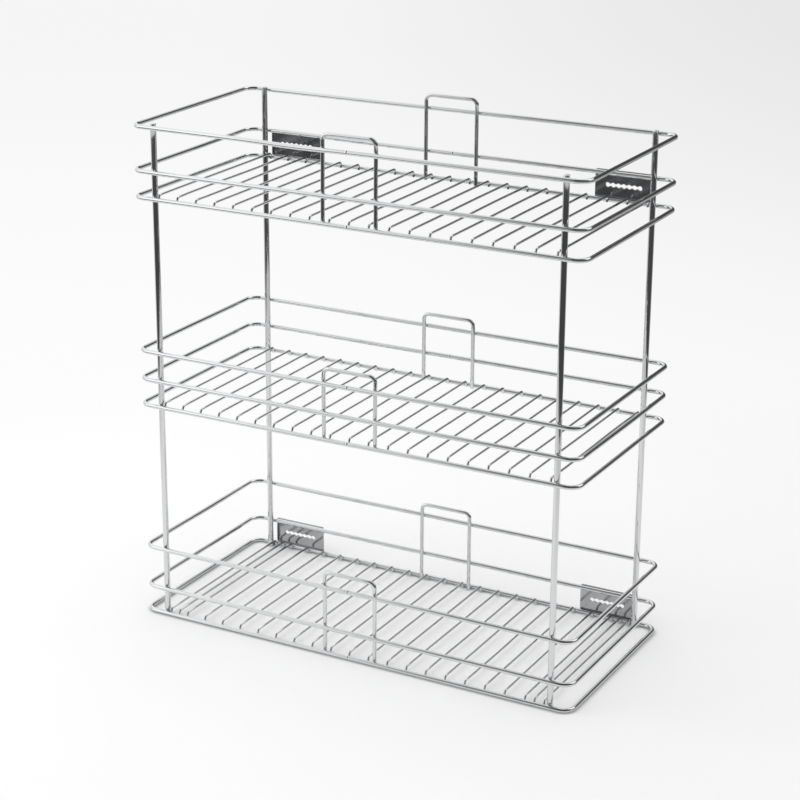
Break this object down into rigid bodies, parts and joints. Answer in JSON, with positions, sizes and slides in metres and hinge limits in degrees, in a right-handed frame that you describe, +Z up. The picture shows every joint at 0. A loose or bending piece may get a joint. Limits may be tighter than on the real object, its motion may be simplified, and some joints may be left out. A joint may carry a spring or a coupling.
{
  "type": "bottle pull-out basket",
  "caption": "Tall tiered basket of welded chromed wire for bottles, with slotted plates on one long side that bolt it to a cabinet pull-out frame.",
  "frame": {"origin": "on the floor, below the middle of the rectangular rings", "axes": "+Z up along the posts, +X along the long sides, +Y towards the side with the mounting plates"},
  "size_m": [0.485, 0.2215, 0.5303],
  "materials": {
    "chromed_wire": "bright chrome plating",
    "chromed_sheet": "bright chrome plating on pressed sheet"
  },
  "bodies": {
    "root": {"front_left_post": "chromed_wire", "front_right_post": "chromed_wire", "back_left_post": "chromed_wire", "back_right_post": "chromed_wire", "bottom_base_ring": "chromed_wire", "bottom_middle_ring": "chromed_wire", "bottom_upper_ring": "chromed_wire", "middle_base_ring": "chromed_wire", "middle_middle_ring": "chromed_wire", "middle_upper_ring": "chromed_wire", "top_base_ring": "chromed_wire", "top_middle_ring": "chromed_wire", "top_upper_ring": "chromed_wire", "bottom_front_arch": "chromed_wire", "bottom_back_arch": "chromed_wire", "middle_front_arch": "chromed_wire", "middle_back_arch": "chromed_wire", "top_front_arch": "chromed_wire", "top_back_arch": "chromed_wire", "bottom_floor_wires": "chromed_wire", "middle_floor_wires": "chromed_wire", "top_floor_wires": "chromed_wire", "bottom_left_plate": "chromed_sheet", "bottom_right_plate": "chromed_sheet", "top_left_plate": "chromed_sheet", "top_right_plate": "chromed_sheet"}
  },
  "joints": []
}
